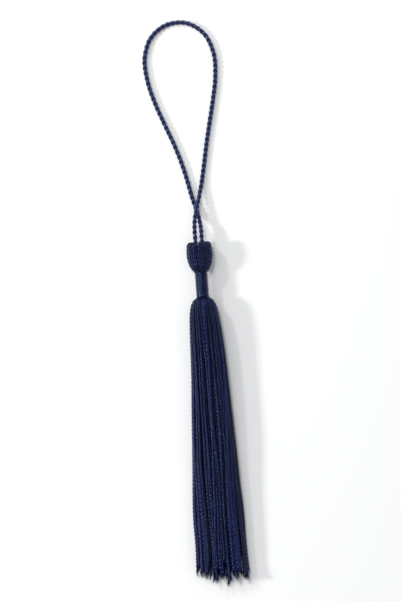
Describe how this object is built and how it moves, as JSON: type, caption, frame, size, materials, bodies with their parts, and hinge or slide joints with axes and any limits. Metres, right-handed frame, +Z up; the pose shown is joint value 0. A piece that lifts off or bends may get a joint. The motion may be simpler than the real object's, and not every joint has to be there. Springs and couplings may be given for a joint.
{
  "type": "thread tassel",
  "caption": "Silky navy thread tassel with a tulip-shaped head, a tightly wound neck, a long skirt of plied threads and a twisted hanging loop.",
  "frame": {"origin": "on the surface it lies on, under the middle of the box of the hank and its binding; the cord loop isn't counted", "axes": "+Z up from the surface; +Y along the tassel from the cut ends towards the head and the cord loop; +X to the right seen from above with the loop at the top"},
  "size_m": [0.0176, 0.1323, 0.0063],
  "materials": {
    "rayon_thread": "silky plied rayon thread, dark navy",
    "binding_thread": "fine glossy winding thread, dark navy",
    "twisted_cord": "two-ply twisted rayon cord, dark navy"
  },
  "bodies": {
    "root": {"hank": "rayon_thread", "neck_binding": "binding_thread", "cord_loop": "twisted_cord"}
  },
  "joints": []
}
